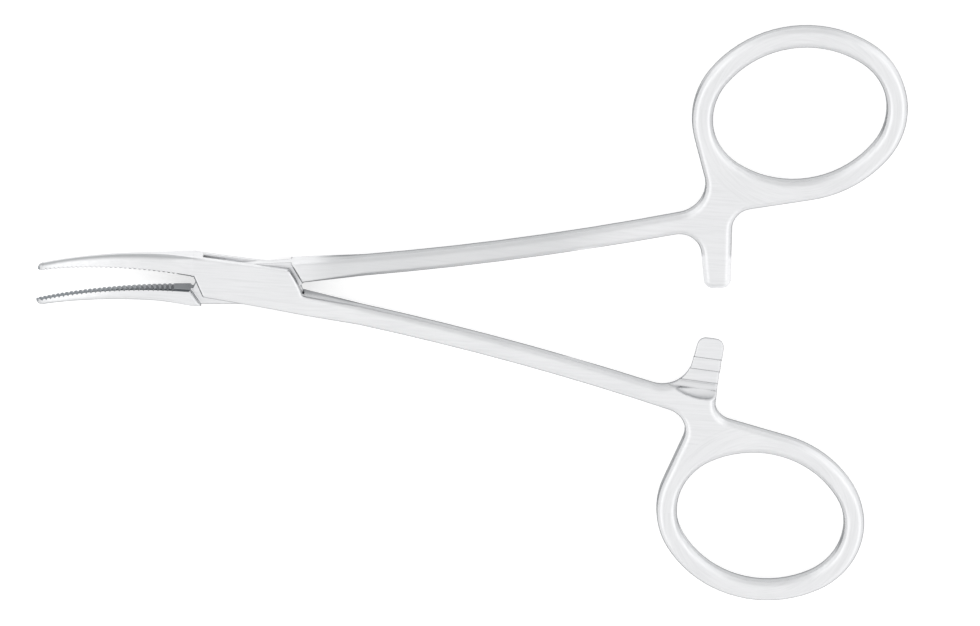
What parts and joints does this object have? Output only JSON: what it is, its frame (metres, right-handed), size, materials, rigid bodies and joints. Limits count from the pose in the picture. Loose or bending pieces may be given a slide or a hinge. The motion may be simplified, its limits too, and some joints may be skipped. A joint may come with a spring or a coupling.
{
  "type": "hemostat forceps",
  "caption": "Small curved locking forceps with a box joint, serrated jaws that bend upwards, slender shanks, a toothed ratchet and oval finger rings, shown slightly open.",
  "frame": {"origin": "on the pivot axis, at the flat underside of the box joint", "axes": "+X from the pivot towards the finger rings along the line half way between the arms, +Y towards the ring of the tenon arm, +Z along the pivot towards the side that the jaws bend to"},
  "size_m": [0.1225, 0.0878, 0.0093],
  "materials": {
    "satin_steel": "satin brushed stainless steel"
  },
  "bodies": {
    "box_side": {"box_arm": "satin_steel", "pivot_pin": "satin_steel"},
    "tenon_side": {"tenon_arm": "satin_steel"}
  },
  "joints": [
    {"name": "pivot", "type": "hinge", "parent": "box_side", "child": "tenon_side", "pos_m": [0, 0, 0], "axis": [0, 0, 1], "range_deg": [-8, 42]}
  ]
}
